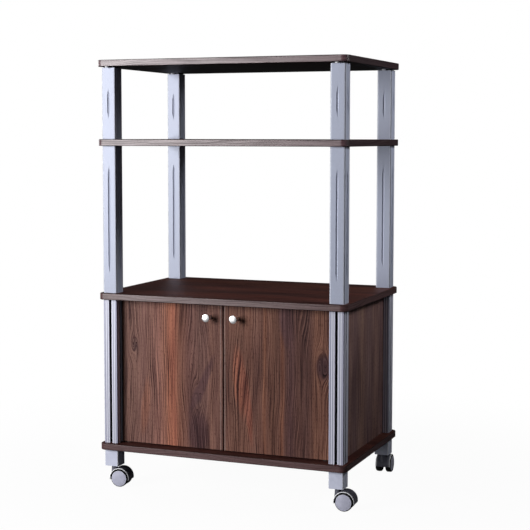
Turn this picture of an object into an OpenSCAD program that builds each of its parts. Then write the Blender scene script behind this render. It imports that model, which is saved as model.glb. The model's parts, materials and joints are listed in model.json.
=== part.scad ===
// Rolling stand for a printer: four boards on square corner posts, two open
// bays above a two-door cabinet, and four twin-wheel casters.
// Millimetres. The origin is on the floor under the middle of the boards;
// +X is the right side seen from the front, -Y the front, +Z up.

/* [Boards] */
// Width of every board
stand_w = 597; // [520:1:700]
// Depth of every board
stand_d = 394; // [360:1:480]
// Thickness of every board
board_t = 15; // [13:0.5:18]
// Radius of the boards' corners seen from above
board_corner_r = 15; // [8:1:25]
// Rounding of the edge band
board_edge_r = 1.5; // [0.8:0.1:3]

/* [Heights] */
// Height of a caster, floor to leg
caster_h = 48; // [47:0.5:50]
// Height of a leg block
leg_h = 39; // [38:1:60]
// Clear height of the cabinet
cabinet_h = 333; // [250:1:420]
// Clear height of the printer bay
printer_bay_h = 335; // [200:1:420]
// Clear height of the bay under the top board
top_bay_h = 163; // [140:1:260]

/* [Posts] */
// Outside width of a square post
post_w = 34; // [30:0.5:38]
// Distance from the boards' side edges to the posts
side_inset = 8.5; // [5:0.5:14]
// Distance from the boards' front and back edges to the posts
front_inset = 11; // [8:0.5:16]
// Wall of the upper posts' steel tube
tube_wall = 1.5; // [1.2:0.1:2]
// Width of the groove pressed into each face of the upper posts
groove_w = 6; // [4:0.5:9]
// Depth of the pressed groove
groove_depth = 2.2; // [1:0.1:3]
// Plain length between a tube's end and the tip of its groove
groove_margin = 47; // [30:1:60]
// Gap that the end caps keep between the top posts and the top board
cap_gap = 2.2; // [1.5:0.1:4]
// Width of the panel slots in the lower posts
slot_w = 4.6; // [4:0.1:6]
// Depth of the panel slots
slot_depth = 7.5; // [6:0.5:8]

/* [Cabinet] */
// Thickness of the side and back panels
panel_t = 3.8; // [3:0.1:4]
// Thickness of a door
door_t = 15; // [12:0.5:18]
// Distance from the posts' front faces back to the doors
door_setback = 20.5; // [10:0.5:24]
// Gap between a door's outer edge and the post
door_side_gap = 3; // [3:0.5:8]
// Gap between the two doors
door_meeting_gap = 2.5; // [1.5:0.5:4]
// Gap above and below a door
door_end_gap = 2; // [1.6:0.2:4]
// Distance from a door's outer edge to its pivot
door_pivot_inset = 12; // [11:0.5:20]
// Diameter of a door's pivot pins
pivot_pin_d = 6; // [5:0.5:8]
// Distance from the middle of the cabinet to a knob
knob_x = 33; // [25:1:60]
// Distance from the cabinet top down to a knob
knob_drop = 31; // [25:1:160]
// Diameter of a knob's head
knob_d = 17; // [14:0.5:30]
// How far a knob stands out from its door
knob_projection = 23.5; // [18:0.5:26]

/* [Casters] */
// Diameter of a wheel
wheel_d = 40; // [38:1:41]
// Width of a wheel's tread
wheel_w = 15; // [12:0.5:16]
// Distance between a caster's two wheels
wheel_spacing = 9.2; // [9:0.2:12]
// Distance from the swivel axis to the axle
caster_trail = 17; // [14:0.5:20]
// Outside radius of the hood over the wheels
hood_r = 23.5; // [23.2:0.1:25]
// Width of the hood
hood_w = 35; // [28:0.5:40]

/* [Hidden] */
$fn = 64;
eps = 0.01;
fit_gap = 0.06;                 // radial clearance of a pin that turns in a hole

z_leg = caster_h;
z_base = z_leg + leg_h;         // underside of the cabinet floor
z_cabinet = z_base + board_t;
z_cabinet_top = z_cabinet + cabinet_h;
z_printer_bay = z_cabinet_top + board_t;
z_shelf = z_printer_bay + printer_bay_h;
z_top_bay = z_shelf + board_t;
z_top = z_top_bay + top_bay_h;  // underside of the top board

post_x = stand_w / 2 - side_inset - post_w / 2;
post_y = stand_d / 2 - front_inset - post_w / 2;
post_inner_x = post_x - post_w / 2;
tube_corner_r = 3;
groove_taper = 16;

stud_d = 8;                     // bolts that join posts, boards and legs
stud_len = 38;
plug_t = 12;
insert_d = 11.2;
post_insert_len = 20;
board_insert_depth = 12;
top_stud_len = 22;

slot_bottom = post_w / 2 - slot_depth;    // from the middle of the post
panel_clearance = 0.5;
panel_reach = slot_bottom + panel_clearance;

door_w = post_inner_x - door_side_gap - door_meeting_gap / 2;
door_h = cabinet_h - 2 * door_end_gap;
door_front_y = -post_y - post_w / 2 + door_setback;
door_back_y = door_front_y + door_t;
door_mid_y = door_front_y + door_t / 2;
pivot_x = post_inner_x - door_side_gap - door_pivot_inset;
pin_seat = 16;                  // length of a pivot pin inside its door
pin_reach = 7;                  // length of a pivot pin inside its bush
bush_depth = 8;
bush_flange_t = 1.2;
knob_z = z_cabinet_top - knob_drop;
screw_d = 4;

catch_w = 50;
catch_d = 16;
catch_h = 13;
strike_w = 18;
strike_h = 9;
strike_t = 1.2;
strike_x = 12;
strike_gap = 0.3;
catch_front_y = door_back_y + strike_t + strike_gap;

wheel_r = wheel_d / 2;
well_r = wheel_r + 1.6;
web_w = wheel_spacing - 0.8;
axle_d = 5;
swivel_d = 6;
collar_t = 1;
socket_len = 24;
socket_d = 11;

// Corner posts and casters: name, side, end, and the way the caster trails
CORNERS = [
    ["front_left", -1, -1, 6],
    ["front_right", 1, -1, 3],
    ["back_left", -1, 1, 180],
    ["back_right", 1, 1, 93]
];

// ---- Shapes used more than once

// Rectangle with rounded corners, centred
module rounded_rect(size, r) {
    square([size[0] - 2 * r, size[1]], center = true);
    square([size[0], size[1] - 2 * r], center = true);
    for (x = [-1, 1], y = [-1, 1])
        translate([x * (size[0] / 2 - r), y * (size[1] / 2 - r)])
            circle(r = r);
}

// Board lying flat, centred, with corners of radius r and all its edges rounded by e
module slab(size, r, e) {
    translate([0, 0, size[2] / 2]) {
        rotate([90, 0, 0])
            linear_extrude(size[1] - 2 * r, center = true)
                rounded_rect([size[0], size[2]], e);
        rotate([90, 0, 90])
            linear_extrude(size[0] - 2 * r, center = true)
                rounded_rect([size[1], size[2]], e);
        for (quarter = [0:3])
            let (sx = (quarter == 0 || quarter == 3) ? 1 : -1, sy = quarter < 2 ? 1 : -1)
                translate([sx * (size[0] / 2 - r), sy * (size[1] / 2 - r), 0])
                    rotate(90 * quarter)
                        rotate_extrude(angle = 90)
                            intersection() {
                                rounded_rect([2 * r, size[2]], e);
                                translate([0, -size[2]]) square([r + 1, 2 * size[2]]);
                            }
    }
}

// Children repeated at the four posts
module at_posts() {
    for (c = CORNERS)
        translate([c[1] * post_x, c[2] * post_y, 0])
            children();
}

// Children repeated for the four faces of a post
module on_faces() {
    for (a = [0:90:270])
        rotate(a)
            children();
}

// Spindle with an oval section and pointed ends, on the plane y = distance
module groove_form(length, w, depth, distance) {
    sides = 12;
    body = length / 2 - groove_taper;
    ring = [for (k = [0:sides - 1]) [w / 2 * cos(360 * k / sides), distance + depth * sin(360 * k / sides)]];
    points = concat(
        [for (z = [-body, body], p = ring) [p[0], p[1], z]],
        [[0, distance, -length / 2], [0, distance, length / 2]]
    );
    walls = [for (k = [0:sides - 1]) let (n = (k + 1) % sides) [k, k + sides, n + sides, n]];
    low_tip = [for (k = [0:sides - 1]) [k, (k + 1) % sides, 2 * sides]];
    high_tip = [for (k = [0:sides - 1]) [sides + (k + 1) % sides, sides + k, 2 * sides + 1]];
    polyhedron(points, concat(walls, low_tip, high_tip));
}

// Stud with chamfered ends, standing on z = 0
module stud(length) {
    chamfer = 0.8;
    rotate_extrude()
        polygon([
            [0, 0], [stud_d / 2 - chamfer, 0], [stud_d / 2, chamfer],
            [stud_d / 2, length - chamfer], [stud_d / 2 - chamfer, length], [0, length]
        ]);
}

// ---- Boards

module plain_board(z) {
    color("#4a3030")
        difference() {
            translate([0, 0, z]) slab([stand_w, stand_d, board_t], board_corner_r, board_edge_r);
            children();
        }
}

module stud_holes(z) {
    at_posts()
        translate([0, 0, z - 1])
            cylinder(d = stud_d + 0.6, h = board_t + 2);
}

module bush_holes(z) {
    for (side = [-1, 1])
        translate([side * pivot_x, door_mid_y, z])
            cylinder(d = 10, h = bush_depth + eps);
}

// Blind holes underneath for the threaded inserts
module top_board() {
    plain_board(z_top)
        at_posts()
            translate([0, 0, z_top - eps])
                cylinder(d = insert_d, h = board_insert_depth + eps);
}

module upper_shelf() {
    plain_board(z_shelf) stud_holes(z_shelf);
}

module cabinet_top() {
    plain_board(z_cabinet_top) {
        stud_holes(z_cabinet_top);
        bush_holes(z_cabinet_top - eps);
    }
}

module cabinet_floor() {
    plain_board(z_base) {
        stud_holes(z_base);
        bush_holes(z_cabinet - bush_depth);
    }
}

// ---- Posts and legs

// Square steel tube with a groove pressed into each face
module grooved_tube(length) {
    groove_len = length - 2 * groove_margin;
    inner_w = post_w - 2 * tube_wall;
    color("#b9bccb")
        difference() {
            linear_extrude(length) rounded_rect([post_w, post_w], tube_corner_r);
            difference() {
                translate([0, 0, -1])
                    linear_extrude(length + 2)
                        rounded_rect([inner_w, inner_w], tube_corner_r - tube_wall);
                translate([0, 0, length / 2])
                    on_faces()
                        groove_form(groove_len + 2, groove_w + 2 * tube_wall, groove_depth, inner_w / 2);
            }
            translate([0, 0, length / 2])
                on_faces()
                    groove_form(groove_len, groove_w, groove_depth, post_w / 2);
        }
}

module post_at(c, z) {
    translate([c[1] * post_x, c[2] * post_y, z])
        children();
}

module top_post(c) {
    post_at(c, z_top_bay) grooved_tube(top_bay_h - cap_gap);
}

module middle_post(c) {
    post_at(c, z_printer_bay) grooved_tube(printer_bay_h);
}

// Four round-cornered box sections joined by a core, with a slot between each pair
module slotted_section() {
    lobe = (post_w - slot_w) / 2;
    lobe_at = (post_w + slot_w) / 4;
    chamber = 8;
    chamber_at = post_w / 2 - 1.6 - chamber / 2;
    difference() {
        union() {
            for (x = [-1, 1], y = [-1, 1])
                translate([x * lobe_at, y * lobe_at])
                    rounded_rect([lobe, lobe], 2);
            square(2 * slot_bottom, center = true);
        }
        for (x = [-1, 1], y = [-1, 1])
            translate([x * chamber_at, y * chamber_at])
                rounded_rect([chamber, chamber], 1);
        circle(d = insert_d);
    }
}

module lower_post(c) {
    color("#b9bccb")
        post_at(c, z_cabinet)
            linear_extrude(cabinet_h)
                slotted_section();
}

// Moulded block: thin walls, a boss on four ribs, and a floor around the caster socket
module leg(c) {
    wall = 2.5;
    rib = 2;
    boss_d = 17;
    floor_t = 3;
    stud_seat = 12;
    color("#b9bccb")
        post_at(c, z_leg)
            difference() {
                linear_extrude(leg_h) rounded_rect([post_w, post_w], 2.5);
                translate([0, 0, floor_t])
                    linear_extrude(leg_h)
                        difference() {
                            rounded_rect([post_w - 2 * wall, post_w - 2 * wall], 1);
                            circle(d = boss_d);
                            square([post_w, rib], center = true);
                            square([rib, post_w], center = true);
                        }
                translate([0, 0, -1]) cylinder(d = socket_d, h = socket_len + 1);
                translate([0, 0, leg_h - stud_seat]) cylinder(d = stud_d, h = stud_seat + 1);
            }
}

// ---- Fastenings inside the posts

// Threaded sleeves set flush in the underside of the top board
module top_board_inserts() {
    color("#c9b37a")
        at_posts()
            translate([0, 0, z_top])
                difference() {
                    cylinder(d = insert_d, h = board_insert_depth - 0.5);
                    translate([0, 0, -1]) cylinder(d = stud_d, h = board_insert_depth + 1);
                }
}

// Plug that fills the end of a tube: a floor with a skirt and a threaded boss
module tube_plug() {
    outer = post_w - 2 * tube_wall - 0.1;
    skirt = 2;
    floor_t = 3;
    difference() {
        linear_extrude(plug_t) rounded_rect([outer, outer], tube_corner_r - tube_wall);
        translate([0, 0, -1])
            linear_extrude(plug_t - floor_t + 1)
                difference() {
                    rounded_rect([outer - 2 * skirt, outer - 2 * skirt], 0.8);
                    circle(d = stud_d + 6);
                }
        translate([0, 0, -1]) cylinder(d = stud_d, h = plug_t + 2);
    }
}

// Caps of the top posts: a plug, a spacer under the board, and a round lug at the front
module top_post_caps() {
    lug_d = 8.6;
    lug_reach = 5;
    spacer_w = post_w - 6;
    z_cap = z_top - cap_gap;
    color("#e8e8ee")
        for (c = CORNERS)
            post_at(c, z_cap) {
                translate([0, 0, -plug_t]) tube_plug();
                difference() {
                    union() {
                        linear_extrude(cap_gap) rounded_rect([spacer_w, spacer_w], 2);
                        translate([0, -post_w / 2 - lug_reach, 0]) cylinder(d = lug_d, h = cap_gap);
                        translate([-2.5, -post_w / 2 - lug_reach, 0]) cube([5, lug_reach + 4, cap_gap]);
                    }
                    translate([0, 0, -1]) cylinder(d = stud_d, h = cap_gap + 2);
                }
            }
}

module top_studs() {
    color("#8f9196")
        at_posts()
            translate([0, 0, z_top - top_stud_len / 2])
                stud(top_stud_len);
}

// Plugs in the other ends of the upper posts
module post_plugs() {
    color("#2b2b2e")
        at_posts() {
            translate([0, 0, z_shelf - plug_t]) tube_plug();
            for (z = [z_top_bay, z_printer_bay])
                translate([0, 0, z + plug_t]) mirror([0, 0, 1]) tube_plug();
        }
}

// One stud through every board at every post
module joining_studs() {
    color("#8f9196")
        at_posts()
            for (z = [z_base, z_cabinet_top, z_shelf])
                translate([0, 0, z + board_t / 2 - stud_len / 2])
                    stud(stud_len);
}

module lower_post_inserts() {
    color("#c9b37a")
        at_posts()
            for (z = [z_cabinet, z_cabinet_top - post_insert_len])
                translate([0, 0, z])
                    difference() {
                        cylinder(d = insert_d, h = post_insert_len);
                        translate([0, 0, -1]) cylinder(d = stud_d, h = post_insert_len + 2);
                    }
}

// ---- Panels

module side_panel(side) {
    color("#5a4038")
        translate([side * post_x - panel_t / 2, -(post_y - panel_reach), z_cabinet])
            cube([panel_t, 2 * (post_y - panel_reach), cabinet_h]);
}

module back_panel() {
    color("#5a4038")
        translate([-(post_x - panel_reach), post_y - panel_t / 2, z_cabinet])
            cube([2 * (post_x - panel_reach), panel_t, cabinet_h]);
}

// ---- Doors; side is -1 for the left door and 1 for the right one

module door(side) {
    color("#6b4a40")
        difference() {
            translate([side * (door_meeting_gap / 2 + door_w / 2), door_back_y, z_cabinet + cabinet_h / 2])
                rotate([90, 0, 0])
                    slab([door_w, door_h, door_t], 1.5, 1);
            for (z = [z_cabinet + door_end_gap - eps, z_cabinet_top - door_end_gap - pin_seat])
                translate([side * pivot_x, door_mid_y, z])
                    cylinder(d = pivot_pin_d, h = pin_seat + eps);
            translate([side * knob_x, door_back_y + 1, knob_z])
                rotate([90, 0, 0])
                    cylinder(d = screw_d + 0.4, h = door_t + 2);
        }
}

module door_pins(side) {
    pin_len = pin_reach + pin_seat + door_end_gap;
    color("#8f9196")
        translate([side * pivot_x, door_mid_y, 0])
            for (z = [z_cabinet - pin_reach, z_cabinet_top + pin_reach - pin_len])
                translate([0, 0, z])
                    cylinder(d = pivot_pin_d, h = pin_len);
}

// Turned knob: a foot, a waisted neck and a round head with a domed face
module knob(side) {
    head_t = 7;
    foot_r = 5.5;
    neck_r = 3.6;
    dome_r = 30;
    color("#d8d8dc")
        translate([side * knob_x, door_front_y, knob_z])
            rotate([90, 0, 0])
                difference() {
                    rotate_extrude()
                        union() {
                            square([foot_r, 1.6]);
                            difference() {
                                square([foot_r, knob_projection - head_t]);
                                translate([neck_r + 14, (knob_projection - head_t) / 2 + 0.8])
                                    circle(r = 14);
                            }
                            intersection() {
                                translate([0, knob_projection - head_t / 2])
                                    rounded_rect([knob_d, head_t], 1.4);
                                translate([0, knob_projection - dome_r]) circle(r = dome_r);
                                square([knob_d, knob_projection]);
                            }
                        }
                    translate([0, 0, -1]) cylinder(d = screw_d, h = 13);
                }
}

module knob_screw(side) {
    head_d = 8;
    head_t = 2.4;
    grip = 11;
    color("#8f9196")
        translate([side * knob_x, door_back_y, knob_z])
            rotate([90, 0, 0]) {
                cylinder(d = screw_d, h = door_t + grip);
                translate([0, 0, -head_t]) cylinder(d1 = head_d - 2, d2 = head_d, h = head_t);
            }
}

module strike_plate(side) {
    color("#8f9196")
        translate([side * strike_x - strike_w / 2, door_back_y, z_cabinet_top - catch_h / 2 - strike_h / 2])
            cube([strike_w, strike_t, strike_h]);
}

// ---- What the doors turn in and close against

module door_pivot_bushes() {
    color("#2b2b2e")
        for (side = [-1, 1], top = [0, 1])
            translate([side * pivot_x, door_mid_y, top ? z_cabinet_top : z_cabinet])
                mirror([0, 0, 1 - top])
                    difference() {
                        union() {
                            cylinder(d = 10, h = bush_depth);
                            translate([0, 0, -bush_flange_t]) cylinder(d = 14, h = bush_flange_t);
                        }
                        translate([0, 0, -2]) cylinder(r = pivot_pin_d / 2 + fit_gap, h = bush_depth + 3);
                    }
}

// Double magnetic catch under the cabinet top, with a pocket for each magnet
module catch_housing() {
    color("#2b2b2e")
        difference() {
            translate([0, catch_front_y + catch_d / 2, z_cabinet_top - catch_h])
                linear_extrude(catch_h)
                    rounded_rect([catch_w, catch_d], 2);
            catch_pockets(0);
            translate([0, catch_front_y + catch_d / 2, z_cabinet_top - catch_h - 1])
                cylinder(d = 4.4, h = catch_h + 2);
        }
}

// The space of a magnet at each end of the catch, less a little all round
module catch_pockets(play) {
    for (side = [-1, 1])
        translate([side * strike_x, catch_front_y, z_cabinet_top - catch_h / 2])
            translate([-strike_w / 2 + play, play - eps, -strike_h / 2 + play])
                cube([strike_w - 2 * play, 6 - 2 * play, strike_h - 2 * play]);
}

module catch_magnets() {
    color("#3a3a3e") catch_pockets(0.1);
}

// ---- Casters

module caster_sockets() {
    flange_d = 15;
    color("#2b2b2e")
        at_posts()
            translate([0, 0, z_leg])
                difference() {
                    union() {
                        cylinder(d = socket_d, h = socket_len);
                        translate([0, 0, -collar_t]) cylinder(d = flange_d, h = collar_t);
                    }
                    translate([0, 0, -collar_t - 1]) cylinder(d = stud_d, h = socket_len + collar_t + 2);
                }
}

// Stem: a grip end in the socket, a collar, and the pivot that the housing turns on
module caster_stems() {
    z_collar = z_leg - 2 * collar_t;
    grip_len = 23;
    pivot_len = 18;
    groove_at = 5;
    color("#8f9196")
        at_posts()
            translate([0, 0, z_collar])
                rotate_extrude()
                    difference() {
                        union() {
                            translate([0, -pivot_len]) square([swivel_d / 2, pivot_len + eps]);
                            square([6.5, collar_t]);
                            square([stud_d / 2, collar_t + grip_len - 1]);
                            square([stud_d / 2 - 1, collar_t + grip_len]);
                        }
                        translate([stud_d / 2, grip_len - groove_at]) circle(r = 0.8);
                    }
}

// Children in the frame of one caster: the swivel axis up, the wheels trailing along +X
module at_caster(c) {
    translate([c[1] * post_x, c[2] * post_y, 0])
        rotate(c[3])
            children();
}

module at_axle() {
    translate([caster_trail, 0, wheel_r])
        rotate([90, 0, 0])
            children();
}

// Moulded housing: a barrel-shaped hood with a well for each wheel, a web between
// them that carries the axle, and a boss for the stem
module caster_housing(c) {
    below_level = 10;           // angle that the hood reaches below the axle
    shoulder_r = 2;
    web_r = 9.5;
    boss_top = z_leg - 2 * collar_t - 0.3;
    boss_foot = wheel_r + 8;
    color("#8d8f9c")
        at_caster(c)
            difference() {
                union() {
                    at_axle() {
                        rotate(-below_level)
                            rotate_extrude(angle = 180 + 2 * below_level)
                                intersection() {
                                    rounded_rect([2 * hood_r, hood_w], shoulder_r);
                                    translate([0, -hood_w]) square([hood_r + 1, 2 * hood_w]);
                                }
                        translate([0, 0, -web_w / 2]) cylinder(r = web_r, h = web_w);
                    }
                    translate([0, 0, boss_foot])
                        cylinder(r1 = 8, r2 = 6.8, h = boss_top - boss_foot);
                }
                at_axle() {
                    for (side = [0, 1])
                        mirror([0, 0, side])
                            translate([0, 0, web_w / 2]) cylinder(r = well_r, h = hood_w);
                    translate([0, 0, -web_w]) cylinder(d = axle_d, h = 2 * web_w);
                }
                translate([0, 0, boss_top - 19]) cylinder(r = swivel_d / 2 + fit_gap, h = 20);
            }
}

module caster_axle(c) {
    color("#8f9196")
        at_caster(c)
            at_axle()
                cylinder(d = axle_d, h = wheel_spacing + 2 * wheel_w - 6, center = true);
}

// Wheel: a round-shouldered tread on six ribs, closed outside by a domed disc.
// It stands on z = 0 with its open side down.
module wheel() {
    rim_t = 5;
    hub_r = 5;
    disc_t = 2.2;
    cap_r = wheel_r - 1.9;
    cap_proud = 0.6;
    dome_r = 118;
    tread_r = 4.5;
    difference() {
        union() {
            rotate_extrude() {
                intersection() {
                    translate([wheel_r - rim_t, 0]) square([rim_t, wheel_w]);
                    translate([0, wheel_w / 2]) rounded_rect([wheel_d, wheel_w], tread_r);
                }
                intersection() {
                    translate([0, wheel_w - disc_t]) square([cap_r, disc_t + cap_proud]);
                    translate([0, wheel_w + cap_proud - dome_r]) circle(r = dome_r, $fn = 256);
                }
                square([hub_r, wheel_w - disc_t + eps]);
            }
            for (a = [0:60:300])
                rotate(a)
                    translate([hub_r - 1, -0.7, 1.5])
                        cube([wheel_r - rim_t - hub_r + 2, 1.4, wheel_w - disc_t - 1.5 + eps]);
        }
        translate([0, 0, -1]) cylinder(r = axle_d / 2 + fit_gap, h = wheel_w - 1.5);
    }
}

// side is 0 for the wheel on the caster's right as it trails, 1 for the other one
module caster_wheel(c, side) {
    color("#b4b6c4")
        at_caster(c)
            at_axle()
                mirror([0, 0, side])
                    translate([0, 0, wheel_spacing / 2])
                        wheel();
}

// ---- The nodes

top_board();
upper_shelf();
cabinet_top();
cabinet_floor();
for (c = CORNERS) {
    top_post(c);
    middle_post(c);
    lower_post(c);
    leg(c);
    caster_housing(c);
    caster_axle(c);
    caster_wheel(c, 0);
    caster_wheel(c, 1);
}
side_panel(-1);  // left_side_panel
side_panel(1);  // right_side_panel
back_panel();
top_board_inserts();
top_post_caps();
top_studs();
post_plugs();
joining_studs();
lower_post_inserts();
caster_sockets();
caster_stems();
door_pivot_bushes();
catch_housing();
catch_magnets();
for (s = [["left", -1], ["right", 1]]) {
    door(s[1]);
    door_pins(s[1]);
    knob(s[1]);
    knob_screw(s[1]);
    strike_plate(s[1]);
}
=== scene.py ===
import json
import math

import bmesh
import bpy
from mathutils import Matrix, Vector


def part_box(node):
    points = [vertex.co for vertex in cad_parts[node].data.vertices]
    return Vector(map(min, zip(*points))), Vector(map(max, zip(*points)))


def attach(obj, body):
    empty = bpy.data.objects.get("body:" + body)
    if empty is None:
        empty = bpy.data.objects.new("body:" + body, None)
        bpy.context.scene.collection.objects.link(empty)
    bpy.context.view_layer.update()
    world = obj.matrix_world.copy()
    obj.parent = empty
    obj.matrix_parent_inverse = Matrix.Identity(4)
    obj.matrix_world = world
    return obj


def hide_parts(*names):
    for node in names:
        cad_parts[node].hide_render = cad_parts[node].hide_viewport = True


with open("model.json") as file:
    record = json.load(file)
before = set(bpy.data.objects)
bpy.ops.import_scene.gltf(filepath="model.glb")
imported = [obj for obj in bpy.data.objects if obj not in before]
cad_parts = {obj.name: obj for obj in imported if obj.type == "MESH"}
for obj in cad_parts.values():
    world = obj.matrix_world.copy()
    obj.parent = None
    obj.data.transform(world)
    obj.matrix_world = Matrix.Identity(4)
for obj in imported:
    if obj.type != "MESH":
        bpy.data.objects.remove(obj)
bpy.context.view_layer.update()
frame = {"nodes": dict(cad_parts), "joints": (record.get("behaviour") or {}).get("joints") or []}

NODES = frame["nodes"]
CORNERS = ("front_left", "front_right", "back_left", "back_right")
MM = 0.001


def joint_of(body):
    """The joint that a body turns on."""
    return next(j for j in frame["joints"] if j["child"] == body)


# ---- Camera and lamps

def aimed(yaw, pitch, roll, place):
    """Matrix of a camera: yaw to the left of +Y, pitch above the horizon and roll, in degrees."""
    yaw, pitch, roll = (math.radians(a) for a in (yaw, pitch, roll))
    ahead = Vector((-math.sin(yaw) * math.cos(pitch), math.cos(yaw) * math.cos(pitch), math.sin(pitch)))
    right = Vector((math.cos(yaw), math.sin(yaw), 0))
    up = right.cross(ahead)
    turned_right = math.cos(roll) * right + math.sin(roll) * up
    turned_up = math.cos(roll) * up - math.sin(roll) * right
    turn = Matrix((turned_right, turned_up, -ahead)).transposed()
    return Matrix.Translation(place) @ turn.to_4x4()


camera = bpy.data.objects.new("camera", bpy.data.cameras.new("camera"))
bpy.context.scene.collection.objects.link(camera)
camera.data.lens = 90.58
camera.data.shift_y = -0.0340
camera.matrix_world = aimed(yaw=21.82, pitch=-4.73, roll=0.06, place=(1.1811, -2.8653, 0.8062))
bpy.context.scene.camera = camera
bpy.context.scene.view_settings.view_transform = "Standard"


def soft_lamp(name, place, target, width, height, power, spread=180):
    """Rectangular lamp that faces a target: its sizes in metres, power in watts and spread in degrees."""
    lamp = bpy.data.objects.new(name, bpy.data.lights.new(name, "AREA"))
    bpy.context.scene.collection.objects.link(lamp)
    lamp.data.shape = "RECTANGLE"
    lamp.data.size = width
    lamp.data.size_y = height
    lamp.data.energy = power
    lamp.data.spread = math.radians(spread)
    lamp.location = place
    lamp.rotation_euler = (Vector(target) - Vector(place)).to_track_quat("-Z", "Y").to_euler()


# ---- Nodes

def colour(code):
    """Linear RGBA of an sRGB hex colour."""
    parts = [int(code[i:i + 2], 16) / 255 for i in (1, 3, 5)]
    return [p / 12.92 if p <= 0.04045 else ((p + 0.055) / 1.055) ** 2.4 for p in parts] + [1]


def add(tree, kind, sockets=None, stops=None, **settings):
    """A node with its settings. sockets maps each input to a value or to the output that feeds it. A Mix node
    blends numbers from its inputs 2 and 3, or colours from its inputs 6 and 7 into its output 2."""
    node = tree.nodes.new(kind)
    for name, value in settings.items():
        setattr(node, name, value)
    for key, value in (sockets or {}).items():
        if isinstance(value, bpy.types.NodeSocket):
            tree.links.new(value, node.inputs[key])
        else:
            node.inputs[key].default_value = value
    for i, (at, shade) in enumerate(stops or []):
        ramp = node.color_ramp.elements
        stop = ramp[i] if i < len(ramp) else ramp.new(at)
        stop.position = at
        stop.color = colour(shade)
    return node


def new_material(name):
    """A new material, its node tree and its shader, and a point's place in the part in millimetres."""
    made = bpy.data.materials.new(name)
    made.use_nodes = True
    tree = made.node_tree
    tree.nodes.clear()
    shader = add(tree, "ShaderNodeBsdfPrincipled")
    add(tree, "ShaderNodeOutputMaterial", {"Surface": shader.outputs[0]})
    place = add(tree, "ShaderNodeTexCoord").outputs["Object"]
    place_mm = add(tree, "ShaderNodeVectorMath", {0: place, "Scale": 1 / MM}, operation="SCALE").outputs[0]
    return made, tree, shader, place_mm


def line_on(tree, tint, at, middle, width, shade, strength=1.0, only=None):
    """tint with a soft-edged line of another shade where at is near middle, both in mm, and only is 1."""
    off = add(tree, "ShaderNodeMath", {0: at, 1: -middle}, operation="ADD").outputs[0]
    off = add(tree, "ShaderNodeMath", {0: off}, operation="ABSOLUTE").outputs[0]
    outer, inner = 0.75 * width, 0.35 * width
    share = add(tree, "ShaderNodeMapRange",
                {"Value": off, "From Min": outer, "From Max": inner, "To Max": strength}).outputs[0]
    if only is not None:
        share = add(tree, "ShaderNodeMath", {0: share, 1: only}, operation="MULTIPLY").outputs[0]
    return add(tree, "ShaderNodeMix", {0: share, 6: tint, 7: colour(shade)}, data_type="RGBA").outputs[2]


# ---- Floor and world

def white_paper():
    """Pale seamless paper: white to the camera, with a trace of shade near the part, and its shadow."""
    made, tree, shader, place = new_material("white_paper")
    clouds = add(tree, "ShaderNodeTexNoise", {"Vector": place, "Scale": 1 / 40}).outputs[0]
    tint = add(tree, "ShaderNodeValToRGB", {"Fac": clouds},
               stops=[(0.3, "#f4f4f4"), (0.7, "#f8f8f8")]).outputs[0]
    rays = add(tree, "ShaderNodeLightPath").outputs
    in_gloss = 0.03      # gloss shows only a trace of the white, which keeps the boards' undersides dark
    seen = add(tree, "ShaderNodeMath", {0: rays["Is Glossy Ray"], 1: in_gloss},
               operation="MULTIPLY").outputs[0]
    seen = add(tree, "ShaderNodeMath", {0: rays["Is Camera Ray"], 1: seen}, operation="MAXIMUM").outputs[0]
    seen = add(tree, "ShaderNodeMath", {0: rays["Is Transmission Ray"], 1: seen},
               operation="MAXIMUM").outputs[0]
    # little of the light that falls on the paper comes back up under the boards
    tint = add(tree, "ShaderNodeMix", {0: seen, 6: colour("#3c3c3c"), 7: tint}, data_type="RGBA").outputs[2]
    tree.links.new(tint, shader.inputs["Base Color"])
    shader.inputs["Roughness"].default_value = 0.9
    shader.inputs["Specular IOR Level"].default_value = 0
    # it is a little darker within 400 mm of the part's middle, and pure white from 1300 mm on
    reach = add(tree, "ShaderNodeVectorMath", {0: place}, operation="LENGTH").outputs["Value"]
    white = add(tree, "ShaderNodeMapRange",
                {"Value": reach, "From Min": 400, "From Max": 1300, "To Min": 0.96, "To Max": 1},
                interpolation_type="SMOOTHSTEP").outputs[0]
    share = add(tree, "ShaderNodeMath", {0: seen, 1: white}, operation="MULTIPLY").outputs[0]
    glow = add(tree, "ShaderNodeEmission", {"Color": colour("#ffffff"), "Strength": 1}).outputs[0]
    both = add(tree, "ShaderNodeMixShader", {0: share, 1: shader.outputs[0], 2: glow}).outputs[0]
    out = next(n for n in tree.nodes if n.type == "OUTPUT_MATERIAL")
    tree.links.new(both, out.inputs["Surface"])
    return made


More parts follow.
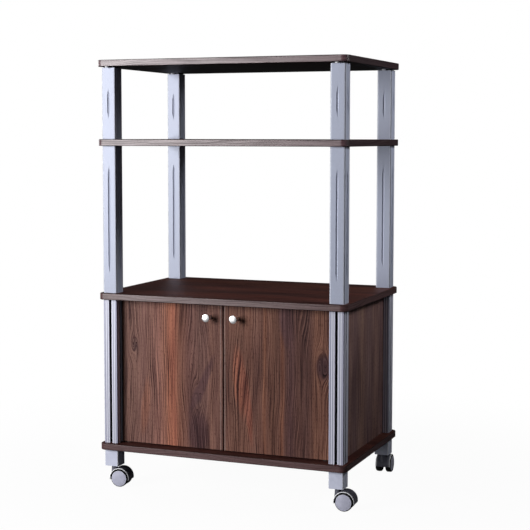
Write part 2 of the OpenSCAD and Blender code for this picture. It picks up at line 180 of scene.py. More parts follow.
def light_world():
    """White to the camera, a faint even light on everything, and the studio that gloss and metal mirror."""
    world = bpy.data.worlds.new("studio")
    bpy.context.scene.world = world
    world.use_nodes = True
    tree = world.node_tree
    tree.nodes.clear()
    rays = add(tree, "ShaderNodeLightPath").outputs
    seen = add(tree, "ShaderNodeMath", {0: rays["Is Camera Ray"], 1: rays["Is Transmission Ray"]},
               operation="MAXIMUM").outputs[0]
    # metal and gloss see a studio that is dark at eye level and pale overhead
    way = add(tree, "ShaderNodeTexCoord").outputs["Generated"]
    way = add(tree, "ShaderNodeSeparateXYZ", {0: way}).outputs
    mirrored = add(tree, "ShaderNodeMapRange",
                   {"Value": way["Z"], "From Min": 0.4, "From Max": 0.95, "To Min": 0.01, "To Max": 0.3},
                   interpolation_type="SMOOTHSTEP").outputs[0]
    even = 0.06      # strength of the light from all round that dull surfaces get
    soft = add(tree, "ShaderNodeMix", {0: rays["Is Glossy Ray"], 2: even, 3: mirrored}).outputs[0]
    strength = add(tree, "ShaderNodeMix", {0: seen, 2: soft, 3: 1.0}).outputs[0]
    glow = add(tree, "ShaderNodeBackground", {"Color": colour("#ffffff"), "Strength": strength})
    add(tree, "ShaderNodeOutputWorld", {"Surface": glow.outputs[0]})


# ---- Walnut-print board

def where_on_board(tree, place, grain, across, thick):
    """A point's places in mm along the grain and to its side, 1 if it is on the edge band, and how squarely
    its face looks along X, Y and Z. On the band, the side runs through the board's thickness."""
    point = add(tree, "ShaderNodeSeparateXYZ", {0: place}).outputs
    normal = add(tree, "ShaderNodeTexCoord").outputs["Normal"]
    facing = add(tree, "ShaderNodeVectorMath", {0: normal}, operation="ABSOLUTE").outputs[0]
    facing = add(tree, "ShaderNodeSeparateXYZ", {0: facing}).outputs
    least = 0.6      # a face that looks at least this squarely along the board is its edge
    at_end = add(tree, "ShaderNodeMath", {0: facing[grain], 1: least}, operation="GREATER_THAN").outputs[0]
    at_side = add(tree, "ShaderNodeMath", {0: facing[across], 1: least}, operation="GREATER_THAN").outputs[0]
    on_band = add(tree, "ShaderNodeMath", {0: at_end, 1: at_side}, operation="MAXIMUM").outputs[0]
    along = add(tree, "ShaderNodeMix", {0: at_end, 2: point[grain], 3: point[across]}).outputs[0]
    side = add(tree, "ShaderNodeMix", {0: on_band, 2: point[across], 3: point[thick]}).outputs[0]
    return along, side, on_band, facing


def grain_noise(tree, side, along, seed, width_mm, length_mm, detail=2.0, rough=0.5):
    """Noise from 0 to 1, drawn out along the grain in streaks of about this width and length."""
    sheet = add(tree, "ShaderNodeCombineXYZ", {0: side, 1: along, 2: seed}).outputs[0]
    scale = (1 / width_mm, 1 / length_mm, 1)
    sheet = add(tree, "ShaderNodeMapping", {"Vector": sheet, "Scale": scale}).outputs[0]
    return add(tree, "ShaderNodeTexNoise",
               {"Vector": sheet, "Scale": 1, "Detail": detail, "Roughness": rough}).outputs[0]


def bent_grain(tree, side, along, seed, knots):
    """The place across the grain, in mm, shifted so that lines drawn in it run as real grain does, and how
    dark the eye of a knot is there."""
    wander, tremble = 40.0, 4.0      # full range in mm of its slow drift and of its finer one
    slow = grain_noise(tree, side, along, seed, 90, 330)
    fine = grain_noise(tree, side, along, seed, 24, 110)
    bent = add(tree, "ShaderNodeMath", {0: slow, 1: wander, 2: side}, operation="MULTIPLY_ADD").outputs[0]
    bent = add(tree, "ShaderNodeMath", {0: fine, 1: tremble, 2: bent}, operation="MULTIPLY_ADD").outputs[0]
    bent = add(tree, "ShaderNodeMath", {0: bent, 1: -(wander + tremble) / 2}, operation="ADD").outputs[0]
    eyes = 0.0
    stretch = 2.5      # a knot's pull reaches this many times as far along the grain as across it
    for at, height, size, pull, eye in knots:
        aside = add(tree, "ShaderNodeMath", {0: side, 1: at}, operation="SUBTRACT").outputs[0]
        above = add(tree, "ShaderNodeMath", {0: along, 1: height}, operation="SUBTRACT").outputs[0]
        # near is e to the power of minus reach, so it is 1 at the knot's middle and falls off like a bell
        reach = add(tree, "ShaderNodeMath", {0: aside, 1: aside}, operation="MULTIPLY").outputs[0]
        reach = add(tree, "ShaderNodeMath", {0: reach, 1: 1 / size ** 2}, operation="MULTIPLY").outputs[0]
        rise = add(tree, "ShaderNodeMath", {0: above, 1: above}, operation="MULTIPLY").outputs[0]
        reach = add(tree, "ShaderNodeMath", {0: rise, 1: 1 / (stretch * size) ** 2, 2: reach},
                    operation="MULTIPLY_ADD").outputs[0]
        reach = add(tree, "ShaderNodeMath", {0: reach, 1: -1.0}, operation="MULTIPLY").outputs[0]
        near = add(tree, "ShaderNodeMath", {0: 2.718, 1: reach}, operation="POWER").outputs[0]
        push = add(tree, "ShaderNodeMath", {0: aside, 1: near}, operation="MULTIPLY").outputs[0]
        bent = add(tree, "ShaderNodeMath", {0: push, 1: -pull, 2: bent}, operation="MULTIPLY_ADD").outputs[0]
        core = add(tree, "ShaderNodeMath", {0: near, 1: 3.0}, operation="POWER").outputs[0]
        eyes = add(tree, "ShaderNodeMath", {0: core, 1: eye, 2: eyes}, operation="MULTIPLY_ADD").outputs[0]
    return bent, eyes


def grain_lines(tree, bent, along, seed):
    """How light the print's grain is, around 0.5, and the fibres in it."""
    # growth rings 2 to 4 mm apart, of uneven strength, under long dark fibres, drawn wide enough to show
    rings = add(tree, "ShaderNodeTexNoise", {"W": bent, "Scale": 1 / 2.5, "Detail": 3, "Roughness": 0.6},
                noise_dimensions="1D").outputs[0]
    clouds = grain_noise(tree, bent, along, seed, 26, 190, detail=3)
    fibres = grain_noise(tree, bent, along, seed, 1.5, 170, detail=3, rough=0.6)
    cloudy, ringed, fibrous = 0.35, 0.7, 1.35      # how much of each there is
    rest = 0.51 - (cloudy + ringed + fibrous) / 2
    light = add(tree, "ShaderNodeMath", {0: clouds, 1: cloudy}, operation="MULTIPLY").outputs[0]
    light = add(tree, "ShaderNodeMath", {0: rings, 1: ringed, 2: light}, operation="MULTIPLY_ADD").outputs[0]
    light = add(tree, "ShaderNodeMath", {0: light, 1: rest}, operation="ADD").outputs[0]
    light = add(tree, "ShaderNodeMath", {0: fibres, 1: fibrous, 2: light},
                operation="MULTIPLY_ADD").outputs[0]
    return light, fibres


def plank_tones(tree, side, bent, along, fibres, planks, flames):
    """Tone of the print's planks and of the flames in them. Their borders sway with the grain and are frayed
    by its fibres."""
    sway = 0.35      # the share of the grain's drift that the borders follow
    fray = 16.0      # full range in mm by which the fibres shift them
    row = add(tree, "ShaderNodeMath", {0: bent, 1: side}, operation="SUBTRACT").outputs[0]
    row = add(tree, "ShaderNodeMath", {0: row, 1: sway, 2: side}, operation="MULTIPLY_ADD").outputs[0]
    row = add(tree, "ShaderNodeMath", {0: row, 1: -fray / 2}, operation="ADD").outputs[0]
    row = add(tree, "ShaderNodeMath", {0: fibres, 1: fray, 2: row}, operation="MULTIPLY_ADD").outputs[0]
    low, high = planks[0][0], planks[-1][0]
    across = add(tree, "ShaderNodeMapRange", {"Value": row, "From Min": low, "From Max": high}).outputs[0]
    tone = add(tree, "ShaderNodeValToRGB", {"Fac": across},
               stops=[((at - low) / (high - low), shade) for at, shade in planks]).outputs[0]
    for at, height, half_width, half_length, lean, shade in flames:
        rise = add(tree, "ShaderNodeMath", {0: along, 1: -height}, operation="ADD").outputs[0]
        off = add(tree, "ShaderNodeMath", {0: row, 1: -at}, operation="ADD").outputs[0]
        off = add(tree, "ShaderNodeMath", {0: rise, 1: -lean, 2: off}, operation="MULTIPLY_ADD").outputs[0]
        off = add(tree, "ShaderNodeMath", {0: off, 1: 1 / half_width}, operation="MULTIPLY").outputs[0]
        off = add(tree, "ShaderNodeMath", {0: off, 1: off}, operation="MULTIPLY").outputs[0]
        rise = add(tree, "ShaderNodeMath", {0: rise, 1: 1 / half_length}, operation="MULTIPLY").outputs[0]
        reach = add(tree, "ShaderNodeMath", {0: rise, 1: rise, 2: off}, operation="MULTIPLY_ADD").outputs[0]
        share = add(tree, "ShaderNodeMapRange", {"Value": reach, "From Min": 1, "From Max": 0.2},
                    interpolation_type="SMOOTHSTEP").outputs[0]
        tone = add(tree, "ShaderNodeMix", {0: share, 6: tone, 7: colour(shade)},
                   data_type="RGBA").outputs[2]
    return tone


def board_band(tree, edge, on_band, light, at_end, at_flat, end):
    """The boards' edge band, from its plain tint, and how much lacquer it keeps. end is how much painted
    shade darkens it on their short ends."""
    # core is the near-black tone of the band's painted shade
    core = colour("#1c1316")
    # the short ends get painted shade, and less lacquer, which leaves them duller
    ends = add(tree, "ShaderNodeMapRange", {"Value": at_end, "From Min": 0.6, "From Max": 0.95}).outputs[0]
    share = add(tree, "ShaderNodeMath", {0: ends, 1: end}, operation="MULTIPLY").outputs[0]
    edge = add(tree, "ShaderNodeMix", {0: share, 6: edge, 7: core}, data_type="RGBA").outputs[2]
    gloss = add(tree, "ShaderNodeMath", {0: ends, 1: -0.6 * end, 2: on_band},
                operation="MULTIPLY_ADD").outputs[0]
    # where the band rounds over onto both faces of the board it is painted dark as shade, and has no lacquer
    rim_shade = add(tree, "ShaderNodeMapRange",
                  {"Value": at_flat, "From Min": 0.1, "From Max": 0.35, "To Max": 0.85}).outputs[0]
    edge = add(tree, "ShaderNodeMix", {0: rim_shade, 6: edge, 7: core}, data_type="RGBA").outputs[2]
    whole = add(tree, "ShaderNodeMath", {0: 1.0, 1: rim_shade}, operation="SUBTRACT").outputs[0]
    gloss = add(tree, "ShaderNodeMath", {0: gloss, 1: whole}, operation="MULTIPLY").outputs[0]
    # its grain is pressed into the lacquer, which is dull along the dark fibres
    pressed = add(tree, "ShaderNodeMapRange",
                  {"Value": light, "From Min": 0.4, "From Max": 0.56, "To Min": 0.5}).outputs[0]
    gloss = add(tree, "ShaderNodeMath", {0: gloss, 1: pressed}, operation="MULTIPLY").outputs[0]
    return edge, gloss


def walnut_foil(name, grain, across, planks, band, seed, knots=(), flames=(), arris_highlight=None, lacquer=1.5,
                end=0.0):
    """Melamine on particle board, printed as rustic walnut planks with their grain along one axis. An edge
    band, lacquered smoother than the dull face, runs round it with its own grain. All sizes are in mm.

    planks: (place across, tone) pairs.
    band: its dark and its light tone.
    knots: (place across, place along, size, pull on the grain, darkness of the eye).
    flames: (place across, place along, half width, half length, lean, tone), long patches of another tone.
    arris_highlight: the place across where a door's softened edge begins, marked with a painted highlight
    line.
    lacquer: the IOR of the band's coat.
    end: on the boards, how much painted shade darkens the band on their short ends; 0 is for a plain band.
    """
    made, tree, shader, place = new_material(name)
    thick = next(a for a in "XYZ" if a not in (grain, across))
    along, side, on_band, facing = where_on_board(tree, place, grain, across, thick)
    bent, eyes = bent_grain(tree, side, along, seed, knots)
    light, fibres = grain_lines(tree, bent, along, seed)
    tone = plank_tones(tree, side, bent, along, fibres, planks, flames)
    lines = add(tree, "ShaderNodeValToRGB", {"Fac": light}, stops=[
        (0.28, "#5f5058"), (0.42, "#a8999b"), (0.54, "#d6cbc8"), (0.72, "#fff8f0")]).outputs[0]
    face = add(tree, "ShaderNodeMix", {0: 1.0, 6: tone, 7: lines}, data_type="RGBA",
               blend_type="MULTIPLY").outputs[2]
    if knots:
        dark = add(tree, "ShaderNodeMath", {0: eyes, 1: 0.75}, operation="MULTIPLY").outputs[0]
        face = add(tree, "ShaderNodeMix", {0: dark, 6: face, 7: colour("#33262b")},
                   data_type="RGBA").outputs[2]
    if arris_highlight is not None:
        # a painted highlight where the door's edge begins to round
        face = line_on(tree, face, side, arris_highlight, 1.45, "#b3a19b", 0.5)
    edge = add(tree, "ShaderNodeValToRGB", {"Fac": light},
               stops=[(0.36, band[0]), (0.64, band[1])]).outputs[0]
    gloss = on_band
    if end:
        edge, gloss = board_band(tree, edge, on_band, light, facing[grain], facing[thick], end)
    tint = add(tree, "ShaderNodeMix", {0: on_band, 6: face, 7: edge}, data_type="RGBA").outputs[2]
    # pores, drawn 0.6 mm wide so that they show; the press leaves them a little sunk
    pores = grain_noise(tree, bent, along, seed, 0.6, 9, detail=1)
    pores = add(tree, "ShaderNodeMapRange", {"Value": pores, "From Min": 0.6, "From Max": 0.72}).outputs[0]
    tint = add(tree, "ShaderNodeMix", {0: pores, 6: tint, 7: colour("#7d6b69")}, data_type="RGBA",
               blend_type="MULTIPLY").outputs[2]
    if thick == "Z":
        # the underside is painted a plain near-black, as shade under the boards
        normal = add(tree, "ShaderNodeTexCoord").outputs["Normal"]
        below = add(tree, "ShaderNodeSeparateXYZ", {0: normal}).outputs["Z"]
        below = add(tree, "ShaderNodeMath", {0: below, 1: -0.6}, operation="LESS_THAN").outputs[0]
        tint = add(tree, "ShaderNodeMix", {0: below, 6: tint, 7: colour("#140d0f")},
                   data_type="RGBA").outputs[2]
    tree.links.new(tint, shader.inputs["Base Color"])
    dull = add(tree, "ShaderNodeMath", {0: pores, 1: 0.15, 2: 0.55}, operation="MULTIPLY_ADD").outputs[0]
    tree.links.new(dull, shader.inputs["Roughness"])
    shader.inputs["Specular IOR Level"].default_value = 0.1
    tree.links.new(gloss, shader.inputs["Coat Weight"])
    shader.inputs["Coat Roughness"].default_value = 0.36
    shader.inputs["Coat IOR"].default_value = lacquer
    bump = add(tree, "ShaderNodeBump", {"Height": pores, "Strength": 0.25, "Distance": 0.05 * MM},
               invert=True)
    tree.links.new(bump.outputs[0], shader.inputs["Normal"])
    return made


# ---- Coated steel, plastics and bare metals

# painted shade: a dark line drawn beside a post's rounded corners on its side faces
PAINTED_CORNER_SHADE = "#4d5060"      # the dull line beside a steel post's corners


def silver_coat(name, light, dark, streak_mm=0.0):
    """Silver powder coat: a grey with fine metal flake and a faint orange-peel skin. A drawn section has
    fine lines along it too, about streak_mm wide."""
    made, tree, shader, place = new_material(name)
    flake_mm, peel_mm = 0.9, 1.6      # real flake is far finer, and is drawn wide enough to show
    tone = add(tree, "ShaderNodeTexNoise", {"Vector": place, "Scale": 1 / flake_mm, "Detail": 2}).outputs[0]
    if streak_mm:
        scale = (1 / streak_mm, 1 / streak_mm, 1 / 400)
        lines = add(tree, "ShaderNodeMapping", {"Vector": place, "Scale": scale}).outputs[0]
        lines = add(tree, "ShaderNodeTexNoise", {"Vector": lines, "Scale": 1, "Detail": 2}).outputs[0]
        tone = add(tree, "ShaderNodeMix", {0: 0.6, 2: tone, 3: lines}).outputs[0]
    tint = add(tree, "ShaderNodeValToRGB", {"Fac": tone}, stops=[(0.3, dark), (0.7, light)]).outputs[0]
    tree.links.new(tint, shader.inputs["Base Color"])
    shader.inputs["Metallic"].default_value = 0.1
    dull = add(tree, "ShaderNodeMapRange", {"Value": tone, "To Min": 0.34, "To Max": 0.46})
    tree.links.new(dull.outputs[0], shader.inputs["Roughness"])
    skin = add(tree, "ShaderNodeTexNoise", {"Vector": place, "Scale": 1 / peel_mm}).outputs[0]
    bump = add(tree, "ShaderNodeBump", {"Height": skin, "Strength": 0.12, "Distance": 0.03 * MM})
    tree.links.new(bump.outputs[0], shader.inputs["Normal"])
    return made, tree, shader, place, tint


def across_post(tree, place, node):
    """For a piece that stands at all four corners: a point's distances from its middle, in mm. near is the
    lesser one, which runs across each face, and far the greater one. side is 1 on the faces that look
    sideways, and half is half the piece's width."""
    low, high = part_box(node)
    middle = (low + high) / (2 * MM)
    shape = add(tree, "ShaderNodeVectorMath", {0: place}, operation="ABSOLUTE").outputs[0]
    shape = add(tree, "ShaderNodeVectorMath", {0: shape, 1: (abs(middle.x), abs(middle.y), 0)},
                operation="SUBTRACT").outputs[0]
    shape = add(tree, "ShaderNodeVectorMath", {0: shape}, operation="ABSOLUTE").outputs[0]
    shape = add(tree, "ShaderNodeSeparateXYZ", {0: shape}).outputs
    near = add(tree, "ShaderNodeMath", {0: shape["X"], 1: shape["Y"]}, operation="MINIMUM").outputs[0]
    far = add(tree, "ShaderNodeMath", {0: shape["X"], 1: shape["Y"]}, operation="MAXIMUM").outputs[0]
    side = add(tree, "ShaderNodeMath", {0: shape["X"], 1: shape["Y"]}, operation="GREATER_THAN").outputs[0]
    half = (high.x - low.x) / (2 * MM)
    return near, far, side, half


def tube_silver():
    """Silver coat on the square tubes. Painted highlights run along the rounded corners, with a painted shade
    line beside them and a painted highlight further in on the side faces."""
    made, tree, shader, place, tint = silver_coat("silver_powder_coat", "#aab0c5", "#9ba1b5")
    near, _, side, half = across_post(tree, place, "middle_post_front_right")
    front = add(tree, "ShaderNodeMath", {0: 1.0, 1: side}, operation="SUBTRACT").outputs[0]
    # painted shade beside the corners and a painted highlight further in, on the side faces; a painted
    # highlight along the corners on the front faces
    tint = line_on(tree, tint, near, half - 1.9, 3.2, PAINTED_CORNER_SHADE, 0.85, only=side)
    tint = line_on(tree, tint, near, half - 5.6, 2.4, "#d6d9e6", 0.6, only=side)
    tint = line_on(tree, tint, near, half - 1.4, 2.4, "#e3e6f0", 0.5, only=front)
    tree.links.new(tint, shader.inputs["Base Color"])
    return made


def slotted_silver():
    """Silver coat on the lower posts. Their slots are painted near-black as shade. Painted shade lines and
    painted highlight lines run along the section on both sides of each slot."""
    made, tree, shader, place, tint = silver_coat("silver_coated_section", "#d5d5e8", "#9899b2",
                                                  streak_mm=1.6)
    near, far, side, half = across_post(tree, place, "lower_post_front_right")
    # places across a face, in mm from its middle
    slot_half, shade_lines, highlight_lines = 2.5, (7.8, 12.8), (5.2, 10.3)
    # painted shade lines and painted highlight lines along the section
    for shade_line in shade_lines:
        tint = line_on(tree, tint, near, shade_line, 2.4, "#6a6d85", 0.5)
    for highlight_line in highlight_lines:
        tint = line_on(tree, tint, near, highlight_line, 2.4, "#f0f2f9", 0.5)
    # painted shade beside the corners on the side faces
    tint = line_on(tree, tint, near, half - 1.7, 2.8, PAINTED_CORNER_SHADE, 0.8, only=side)
    # painted shade: the slots are painted near-black inside
    in_slot = add(tree, "ShaderNodeMath", {0: near, 1: slot_half}, operation="LESS_THAN").outputs[0]
    deep = add(tree, "ShaderNodeMapRange",
               {"Value": far, "From Min": half - 0.3, "From Max": half - 1.4}).outputs[0]
    inside = add(tree, "ShaderNodeMath", {0: in_slot, 1: deep}, operation="MULTIPLY").outputs[0]
    tint = add(tree, "ShaderNodeMix", {0: inside, 6: tint, 7: colour("#17171a")},
               data_type="RGBA").outputs[2]
    tree.links.new(tint, shader.inputs["Base Color"])
    return made


def moulded(name, light, dark, rough, grain_mm=1.2):
    """Injection-moulded plastic with a spark-eroded skin, slightly cloudy in colour. The skin's grain is
    drawn wider than the real one, so that it shows."""
    made, tree, shader, place = new_material(name)
    clouds = add(tree, "ShaderNodeTexNoise", {"Vector": place, "Scale": 1 / 14, "Detail": 2}).outputs[0]
    tint = add(tree, "ShaderNodeValToRGB", {"Fac": clouds}, stops=[(0.35, dark), (0.65, light)]).outputs[0]
    tree.links.new(tint, shader.inputs["Base Color"])
    skin = add(tree, "ShaderNodeTexNoise", {"Vector": place, "Scale": 1 / grain_mm, "Detail": 1}).outputs[0]
    dull = add(tree, "ShaderNodeMapRange", {"Value": skin, "To Min": rough - 0.08, "To Max": rough + 0.08})
    tree.links.new(dull.outputs[0], shader.inputs["Roughness"])
    bump = add(tree, "ShaderNodeBump", {"Height": skin, "Strength": 0.2, "Distance": 0.04 * MM})
    tree.links.new(bump.outputs[0], shader.inputs["Normal"])
    return made, tree, shader, place, tint


def cap_nylon():
    """Cap of a top post: black nylon, with the light lug that shows in front of the post."""
    made, tree, shader, place, tint = moulded("black_nylon_light_lug", "#1c1c1e", "#141416", 0.5)
    low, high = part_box("top_post_front_right")
    middle = abs(low.y + high.y) / (2 * MM)
    lug_from = 16.0      # the lug starts this far out from the post's middle
    y = add(tree, "ShaderNodeSeparateXYZ", {0: place}).outputs["Y"]
    away = add(tree, "ShaderNodeMath", {0: y}, operation="SIGN").outputs[0]
    y = add(tree, "ShaderNodeMath", {0: away, 1: -middle, 2: y}, operation="MULTIPLY_ADD").outputs[0]
    lug = add(tree, "ShaderNodeMath", {0: y, 1: -lug_from}, operation="LESS_THAN").outputs[0]
    tint = add(tree, "ShaderNodeMix", {0: lug, 6: tint, 7: colour("#e9e9ee")}, data_type="RGBA").outputs[2]
    tree.links.new(tint, shader.inputs["Base Color"])
    return made


def leg_plastic():
    """Leg blocks: silver ABS, with a painted highlight along the corners."""
    made, tree, shader, place, tint = moulded("silver_abs_leg", "#d4d8ec", "#c9cde1", 0.42)
    near, _, _, half = across_post(tree, place, "leg_front_right")
    # painted highlight along each corner
    tint = line_on(tree, tint, near, half - 0.4, 1.9, "#f4f5fa", 0.9)
    tree.links.new(tint, shader.inputs["Base Color"])
    return made


def hood_plastic(corner):
    """Caster hood: dark silver ABS, painted black in its wells as shade, with a painted highlight on the rim
    round each wheel and a fine moulding line beside it, painted pale as a highlight."""
    made, tree, shader, place, tint = moulded(f"silver_abs_hood_{corner}", "#646470", "#585863", 0.3)
    joint = joint_of(f"{corner}_outer_wheel")
    axle = tuple(v / MM for v in joint["pos_m"])
    axis = tuple(joint["axis"])
    half_width = 17.5      # of the hood, along the axle
    well_edge = 22.0       # just outside the wells' radius
    reach = add(tree, "ShaderNodeVectorMath", {0: place, 1: axle}, operation="SUBTRACT").outputs[0]
    out = add(tree, "ShaderNodeVectorMath", {0: reach, 1: axis}, operation="DOT_PRODUCT").outputs["Value"]
    out = add(tree, "ShaderNodeMath", {0: out}, operation="ABSOLUTE").outputs[0]
    radius = add(tree, "ShaderNodeVectorMath", {0: reach, 1: axis}, operation="CROSS_PRODUCT").outputs[0]
    radius = add(tree, "ShaderNodeVectorMath", {0: radius}, operation="LENGTH").outputs["Value"]
    # painted highlights: a fine pale line, and a bright line along the rim round each wheel
    tint = line_on(tree, tint, out, half_width - 4.3, 0.8, "#b4b6c0", 0.5)
    tint = line_on(tree, tint, out, half_width - 0.6, 2.6, "#fafbff")
    # painted shade: the wells are painted near-black
    well = add(tree, "ShaderNodeMapRange",
               {"Value": radius, "From Min": well_edge + 0.3, "From Max": well_edge}).outputs[0]
    tint = add(tree, "ShaderNodeMix", {0: well, 6: tint, 7: colour("#131315")}, data_type="RGBA").outputs[2]
    tree.links.new(tint, shader.inputs["Base Color"])
    return made


def plated(name, light, dark, rough, grain_mm):
    """Bare or plated metal with a faint crystal pattern and fine scratches, drawn wide enough to show."""
    made, tree, shader, place = new_material(name)
    grain = add(tree, "ShaderNodeTexVoronoi", {"Vector": place, "Scale": 1 / grain_mm})
    tone = add(tree, "ShaderNodeSeparateColor", {0: grain.outputs["Color"]}).outputs[0]
    tint = add(tree, "ShaderNodeValToRGB", {"Fac": tone}, stops=[(0, dark), (1, light)])
    tree.links.new(tint.outputs[0], shader.inputs["Base Color"])
    shader.inputs["Metallic"].default_value = 1
    marks = add(tree, "ShaderNodeTexNoise", {"Vector": place, "Scale": 1 / 0.8, "Detail": 3}).outputs[0]
    dull = add(tree, "ShaderNodeMapRange", {"Value": marks, "To Min": rough * 0.7, "To Max": rough * 1.3})
    tree.links.new(dull.outputs[0], shader.inputs["Roughness"])
    return made


# ---- Pieces made here

def lathe(shape, profile, closed, slot, steps=72):
    """Turns a profile of (radius, height) points in mm round Z and adds its faces, in material slot."""
    rings = []
    for r, z in profile:
        if r == 0:
            rings.append([shape.verts.new((0, 0, z * MM))] * steps)
        else:
            rings.append([shape.verts.new((r * MM * math.cos(a), r * MM * math.sin(a), z * MM))
                          for a in (2 * math.pi * k / steps for k in range(steps))])
    following = rings[1:] + rings[:1] if closed else rings[1:]
    for low, high in zip(rings, following):
        for k in range(steps):
            n = (k + 1) % steps
            distinct = list(dict.fromkeys([low[k], low[n], high[n], high[k]]))
            if len(distinct) > 2:
                face = shape.faces.new(distinct)
                face.material_index = slot


def as_object(name, shape, place, materials):
    """Object made from a bmesh, with smooth faces and sharp creases."""
    crease = math.radians(32)
    bmesh.ops.recalc_face_normals(shape, faces=shape.faces)
    for edge in shape.edges:
        edge.smooth = edge.calc_face_angle(0) < crease
    for face in shape.faces:
        face.smooth = True
    mesh = bpy.data.meshes.new(name)
    shape.to_mesh(mesh)
    shape.free()
    mesh.transform(place)
    for material in materials:
        mesh.materials.append(material)
    made = bpy.data.objects.new(name, mesh)
    bpy.context.scene.collection.objects.link(made)
    return made


# A caster wheel's sections, as (radius, height above its inner face) in mm. The tyre has a bead, two round
# shoulders, drawn through points at angles in radians, and a parting line 0.15 mm deep round its tread.
WHEEL_R, WHEEL_W, SHOULDER_R = 20.0, 15.0, 4.5
SHOULDER_AT = WHEEL_R - SHOULDER_R
PARTING_R = WHEEL_R - 0.15
TYRE_SECTION = [
    (15.0, 0.9), (15.3, 0.4), (15.9, 0.12),
    *((SHOULDER_AT + SHOULDER_R * math.sin(a), SHOULDER_R - SHOULDER_R * math.cos(a))
      for a in (0.22, 0.5, 0.8, 1.1, 1.35, 1.57)),
    (WHEEL_R, 7.25), (PARTING_R, 7.4), (PARTING_R, 7.6), (WHEEL_R, 7.75),
    *((SHOULDER_AT + SHOULDER_R * math.cos(a), WHEEL_W - SHOULDER_R + SHOULDER_R * math.sin(a))
      for a in (0, 0.22, 0.47, 0.77, 0.98)),
    (17.95, 13.9), (17.6, 13.2), (15.0, 13.0)]
# The disc and hub: a low dome with a fine groove near its edge, a bevelled rim, and the axle's bore.
DISC_SECTION = [
    (0, 15.6), (5, 15.5), (10, 15.17), (13.6, 14.79), (14.6, 14.66), (14.85, 14.4), (15.25, 14.36),
    (15.5, 14.56), (16.9, 14.5), (17.8, 14.2), (17.9, 13.5), (15.4, 12.8), (15.0, 12.6), (5, 12.8),
    (5, 0.05), (2.6, 0.05), (2.6, 12.4), (0, 12.4)]
RIBS = 6
RIB_SIZE = (10.6, 1.4, 11.8)
RIB_MIDDLE = (10.1, 0, 6.9)
INNER_FACE = 4.6      # from the caster's middle to its wheels' inner faces, in mm


def caster_wheel(corner, side, tyre, disc):
    """Wheel of a caster: a rubber tyre on a moulded wheel, which has ribs behind a domed disc."""
    node = f"caster_{corner}_{side}_wheel"
    body = f"{corner}_{side}_wheel"
    joint = joint_of(body)
    hub = Vector(joint["pos_m"])
    low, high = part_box(node)
    axis = Vector(joint["axis"]).normalized()
    out = axis if axis.dot((low + high) / 2 - hub) > 0 else -axis
    shape = bmesh.new()
    lathe(shape, TYRE_SECTION, True, 0)
    lathe(shape, DISC_SECTION, False, 1)
    for k in range(RIBS):
        turn = Matrix.Rotation(2 * math.pi * k / RIBS, 4, "Z")
        middle = Matrix.Translation(MM * Vector(RIB_MIDDLE))
        size = Matrix.Diagonal((*(MM * Vector(RIB_SIZE)), 1))
        rib = bmesh.ops.create_cube(shape, size=1, matrix=turn @ middle @ size)
        for face in {f for v in rib["verts"] for f in v.link_faces}:
            face.material_index = 1
    turn = out.to_track_quat("Z", "Y").to_matrix().to_4x4()
    place = Matrix.Translation(hub + out * INNER_FACE * MM) @ turn
    made = as_object(f"{corner}_{side}_tyred_wheel", shape, place, [tyre, disc])
    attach(made, body)
    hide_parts(node)


def dress(material, *names):
    """Gives CAD nodes their material."""
    for name in names:
        node = NODES[name]
        node.data.materials.clear()
        node.data.materials.append(material)


# ---- Boards, doors and panels

DARK = "#6e5153"      # the darkest streaks of the doors' print
DOOR_BAND = ("#4a3838", "#7a625c")
PANEL_BAND = ("#35262a", "#4a3434")

left_planks = [
    (-254, "#917067"), (-222, "#95736a"), (-200, "#9c776f"), (-180, "#9e776d"), (-160, "#ae8176"),
    (-142, "#b98572"), (-132, "#c6866e"), (-120, "#c2806a"), (-110, "#a57462"), (-100, "#946a5d"),
    (-80, "#86625c"), (-60, "#84645e"), (-42, "#86655f"), (-30, "#9a7468"), (-16, "#906c63"), (0, "#8c685e")]
right_planks = [
    (0, "#8c685e"), (20, "#8c675b"), (40, "#8f6a5d"), (60, "#8f685b"), (80, "#8b675d"), (94, "#8b6559"),
    (100, "#a4745f"), (106, "#8b6559"), (120, "#825e51"), (134, "#7e5b51"), (141, "#9c6c58"),
    (148, "#765650"), (160, "#6e5151"), (180, "#76564f"), (200, "#735550"), (211, "#7d5b52"),
    (220, "#8f6859"), (254, "#8b6557")]
# the boards' faces carry the doors' print in darker tones: painted shade
shaded_board_planks = [
    (-200, "#5c3b37"), (-120, "#6a4039"), (-70, "#4e3330"), (0, "#673f38"), (50, "#563733"),
    (120, "#6e463c"), (200, "#513432")]
# the side panels' tones are their print, lightened and greyed by painted sheen
sheen_side_planks = [
    (-160, "#8a7476"), (-100, "#987e79"), (-60, "#877173"), (-10, "#9c8279"), (40, "#867072"),
    (90, "#967c76"), (160, "#877173")]
back_planks = [
    (-270, "#6b5055"), (-190, "#80604f"), (-110, "#6b5055"), (-30, "#866352"), (60, "#6b5055"),
    (150, "#7b5c50"), (270, "#6b5055")]

left_foil = walnut_foil(
    "walnut_foil_left_door", "Z", "X", left_planks, DOOR_BAND, seed=3, arris_highlight=-6,
    knots=[(-220, 329, 13, 1.4, 0.6), (-62, 212, 15, 1.1, 0.5), (-66, 300, 34, 0.8, 0.0)],
    flames=[(-54, 245, 13, 85, 0.38, DARK), (-62, 140, 30, 60, 0.0, DARK),
            (-196, 190, 14, 80, 0.1, "#aa7a6a")])
right_foil = walnut_foil(
    "walnut_foil_right_door", "Z", "X", right_planks, DOOR_BAND, seed=11, arris_highlight=4,
    knots=[(236, 310, 17, 1.3, 0.45), (182, 432, 26, 0.9, 0.0), (46, 250, 36, 0.7, 0.0)],
    flames=[(42, 262, 17, 95, -0.1, "#a66e5c"), (60, 205, 9, 100, -0.13, "#a0695a"),
            (150, 400, 20, 70, -0.1, DARK), (238, 308, 17, 34, 0.0, "#65494a")])
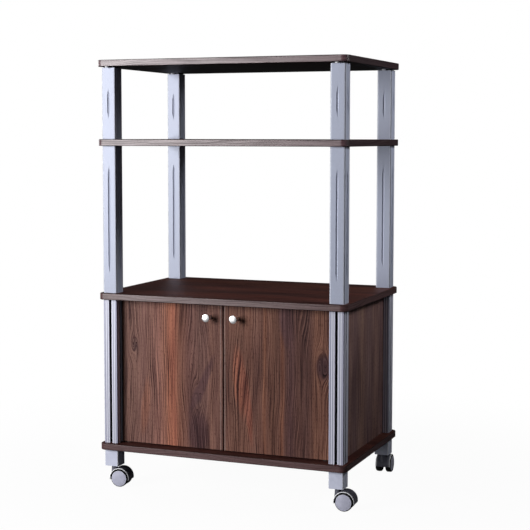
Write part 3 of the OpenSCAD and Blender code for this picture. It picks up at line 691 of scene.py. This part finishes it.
# upper and lower boards share one print: the upper band is paler and more purple as painted sheen, the lower
# band darker as painted shade, and the upper short ends get more painted shade
upper_foil = walnut_foil("walnut_foil_upper_boards", "X", "Y", shaded_board_planks, ("#4c3439", "#6c4d53"),
                         seed=5, lacquer=1.7, end=0.85)
lower_foil = walnut_foil("walnut_foil_lower_boards", "X", "Y", shaded_board_planks, ("#493031", "#654646"),
                         seed=15, lacquer=1.6, end=0.45)
side_foil = walnut_foil("walnut_foil_side_panels", "Z", "Y", sheen_side_planks, PANEL_BAND, seed=7)
back_foil = walnut_foil("walnut_foil_back_panel", "Z", "X", back_planks, PANEL_BAND, seed=9)

dress(upper_foil, "top_board", "upper_shelf")
dress(lower_foil, "cabinet_top", "cabinet_floor")
dress(left_foil, "left_door")
dress(right_foil, "right_door")
dress(side_foil, "left_side_panel", "right_side_panel")
dress(back_foil, "back_panel")

# ---- Posts, legs and fittings

tube_coat = tube_silver()
for tier in ("top_post", "middle_post"):
    dress(tube_coat, *(f"{tier}_{c}" for c in CORNERS))
dress(slotted_silver(), *(f"lower_post_{c}" for c in CORNERS))
dress(leg_plastic(), *(f"leg_{c}" for c in CORNERS))
dress(cap_nylon(), "top_post_caps")

black_nylon = moulded("black_nylon", "#1d1d1f", "#161618", 0.5)[0]
dress(black_nylon, "post_plugs", "catch_housing", "caster_sockets", "door_pivot_bushes")
zinc = plated("zinc_plated_steel", "#c3c6ca", "#a7aab0", 0.34, 2.5)
dress(zinc, "top_studs", "joining_studs", "caster_stems", "left_door_pins", "right_door_pins",
      "left_knob_screw", "right_knob_screw", "left_strike_plate", "right_strike_plate",
      *(f"caster_{c}_axle" for c in CORNERS))
brass = plated("turned_brass", "#d2b36c", "#bf9d57", 0.3, 4)
dress(brass, "top_board_inserts", "lower_post_inserts")
ferrite = moulded("black_ferrite", "#3a3a40", "#2e2e33", 0.6, grain_mm=0.8)[0]
dress(ferrite, "catch_magnets")
chrome = plated("satin_chrome", "#f6f6f7", "#eeeef0", 0.4, 6)
dress(chrome, "left_knob", "right_knob")

# ---- Casters

tyre_rubber = moulded("black_rubber_tyre", "#161617", "#101011", 0.55)[0]
disc_plastic = moulded("silver_abs_disc", "#cacbde", "#bcbdd0", 0.36)[0]
for corner in CORNERS:
    dress(hood_plastic(corner), f"caster_{corner}_housing")
    for side in ("outer", "inner"):
        caster_wheel(corner, side, tyre_rubber, disc_plastic)

# ---- Studio

ground = bmesh.new()
bmesh.ops.create_circle(ground, cap_ends=True, radius=14, segments=96)
floor = as_object("floor", ground, Matrix.Identity(4), [white_paper()])

soft_lamp("key", place=(-1.75, -2.55, 1.0), target=(0.0, -0.1, 0.55), width=1.4, height=1.7, power=95)
soft_lamp("fill", place=(2.3, -2.2, 1.3), target=(0.1, 0, 0.45), width=1.6, height=1.6, power=1.8)
soft_lamp("back", place=(-2.7, 0.9, 1.2), target=(0.0, 0.1, 0.5), width=1.2, height=1.2, power=26)
soft_lamp("side", place=(1.35, 0.25, 1.35), target=(0.29, 0.0, 0.75), width=0.5, height=0.5, power=1.7,
          spread=60)
light_world()
